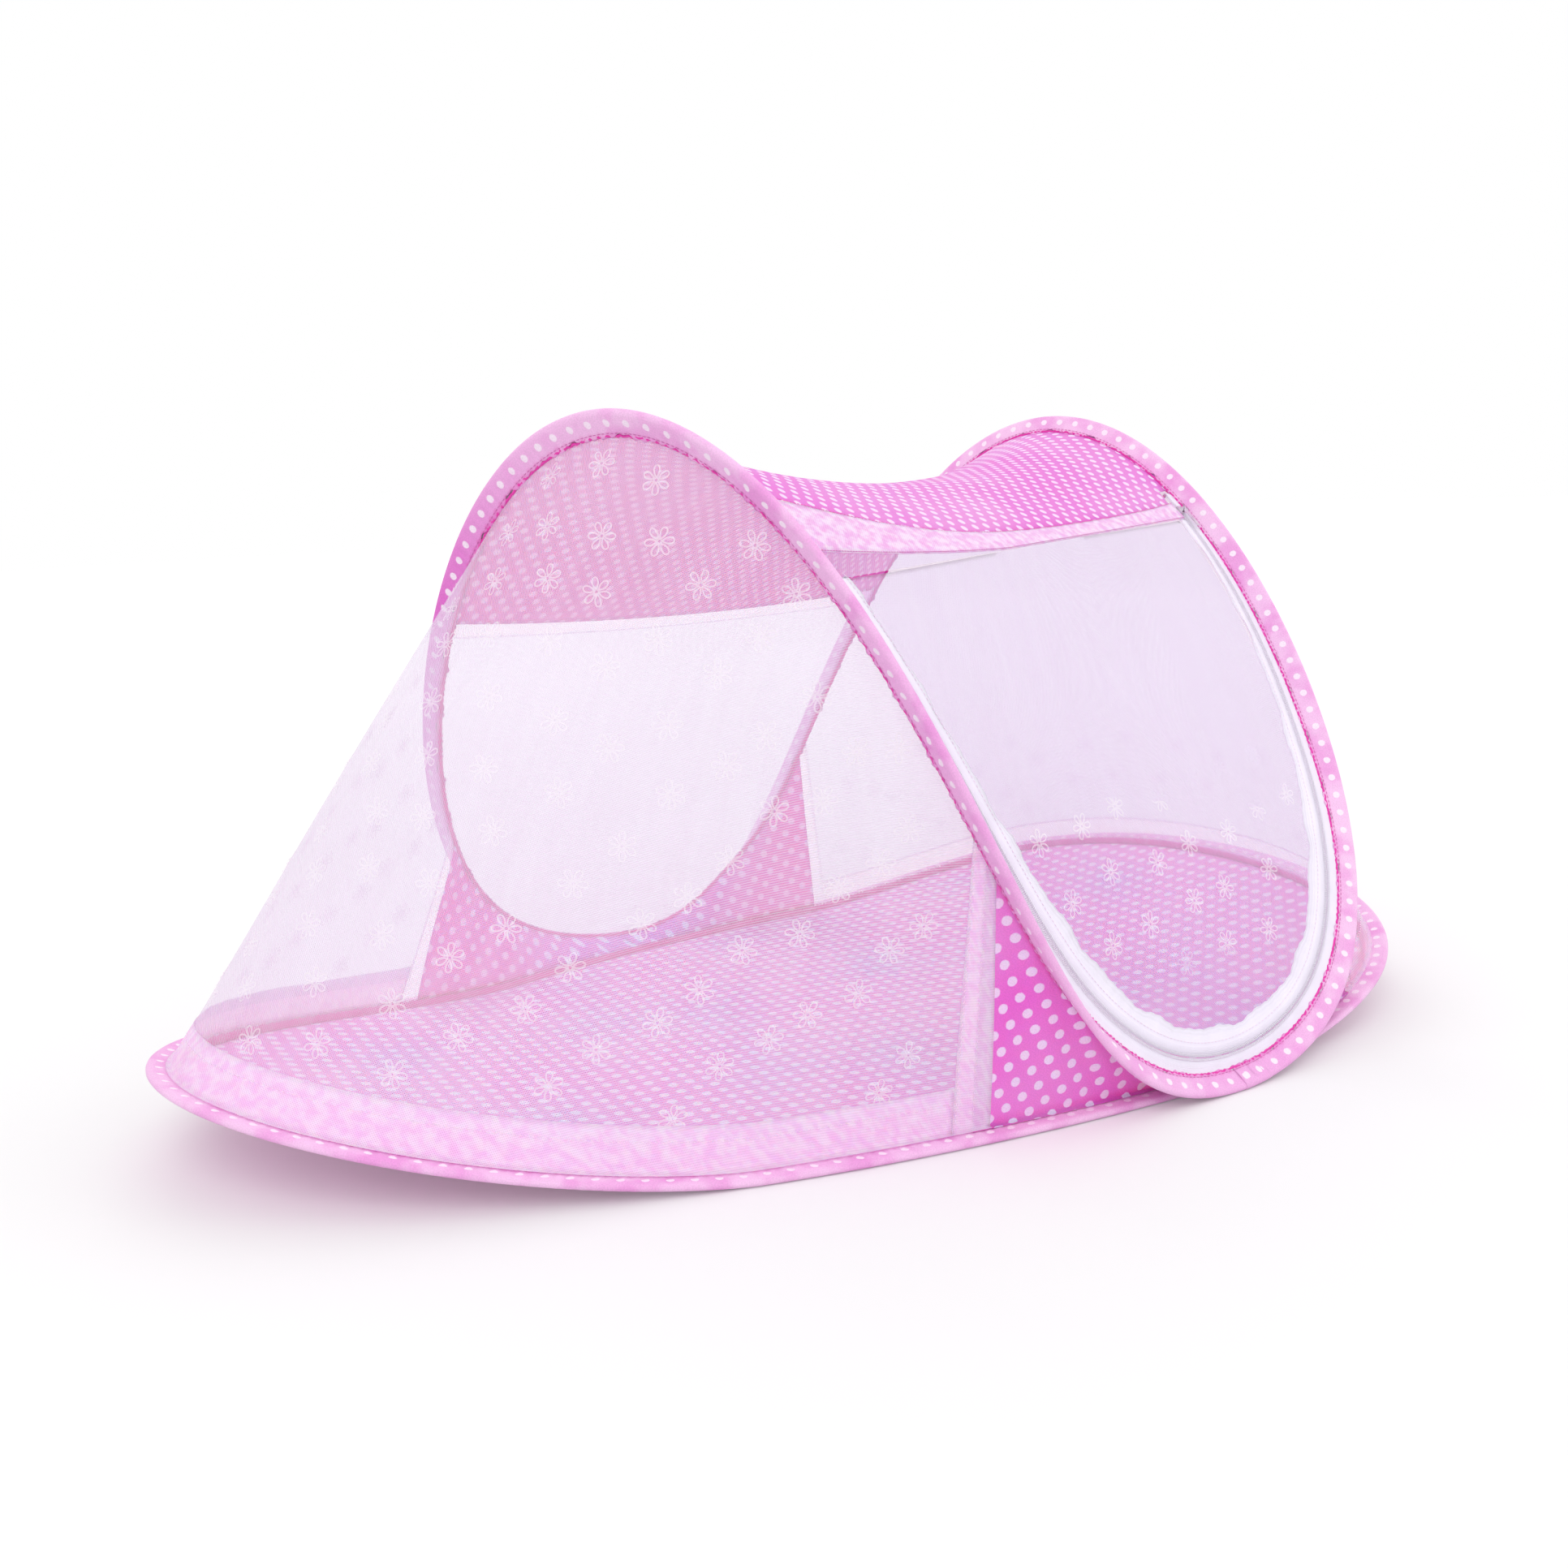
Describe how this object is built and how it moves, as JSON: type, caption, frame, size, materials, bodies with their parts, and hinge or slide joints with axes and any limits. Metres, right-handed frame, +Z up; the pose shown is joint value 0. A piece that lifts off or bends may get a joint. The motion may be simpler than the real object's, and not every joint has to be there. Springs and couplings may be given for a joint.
{
  "type": "pop-up mosquito net tent",
  "caption": "Small pop-up net tent: a dotted floor on a wire ring, a saddle-shaped wire hoop carrying net sides, cloth roof and gussets, and a zipped net door.",
  "frame": {"origin": "on the ground, at the middle of the floor ring's length and width", "axes": "+X along the floor's long axis towards its blunt end, -Y towards the door, +Z up"},
  "size_m": [1.0856, 0.6776, 0.5205],
  "materials": {
    "steel": "drawn spring wire",
    "tape": "dotted polyester tape, folded and stitched",
    "cloth": "dotted polyester cloth",
    "hem": "turned and stitched hem",
    "net": "fine mesh net with small lace flowers",
    "mat": "dotted polyester cloth over a thin pad",
    "zip": "woven zip tape",
    "teeth": "nylon coil",
    "metal": "plated"
  },
  "bodies": {
    "tent": {"floor_wire": "steel", "floor_ferrule": "steel", "hoop_wire": "steel", "hoop_ferrule": "steel", "floor_binding": "tape", "left_arch_binding": "tape", "right_arch_binding": "tape", "left_front_gusset": "cloth", "left_rear_gusset": "cloth", "right_front_gusset": "cloth", "right_rear_gusset": "cloth", "roof_panel": "cloth", "roof_front_hem": "hem", "roof_rear_hem": "hem", "left_net_front_hem": "hem", "left_net_floor_hem": "hem", "left_net_rear_hem": "hem", "right_net_front_hem": "hem", "right_net_floor_hem": "hem", "right_net_rear_hem": "hem", "left_slope_net": "net", "right_slope_net": "net", "rear_window_net": "net", "floor_mat": "mat", "outer_zip_tape": "zip", "outer_zip_teeth": "teeth", "left_zip_stop": "metal", "right_zip_stop": "metal"},
    "door": {"door_net": "net", "inner_zip_tape": "zip", "inner_zip_teeth": "teeth"},
    "slider": {"zip_slider": "metal"},
    "pull": {"zip_pull": "metal"}
  },
  "joints": [
    {"name": "door_hinge", "type": "hinge", "parent": "tent", "child": "door", "pos_m": [0.16005, -0.13728, 0.41225], "axis": [-0.9228, -0.3844, -0.0267], "range_deg": [0, 150]},
    {"name": "slider_slide", "type": "slide", "parent": "tent", "child": "slider", "axis": [-0.1374, 0.7219, 0.6782], "range_m": [0, 0.016]},
    {"name": "pull_swing", "type": "hinge", "parent": "slider", "child": "pull", "pos_m": [0.42015, -0.02352, 0.42935], "axis": [-0.9632, -0.2571, 0.0785], "range_deg": [0, 150]}
  ]
}
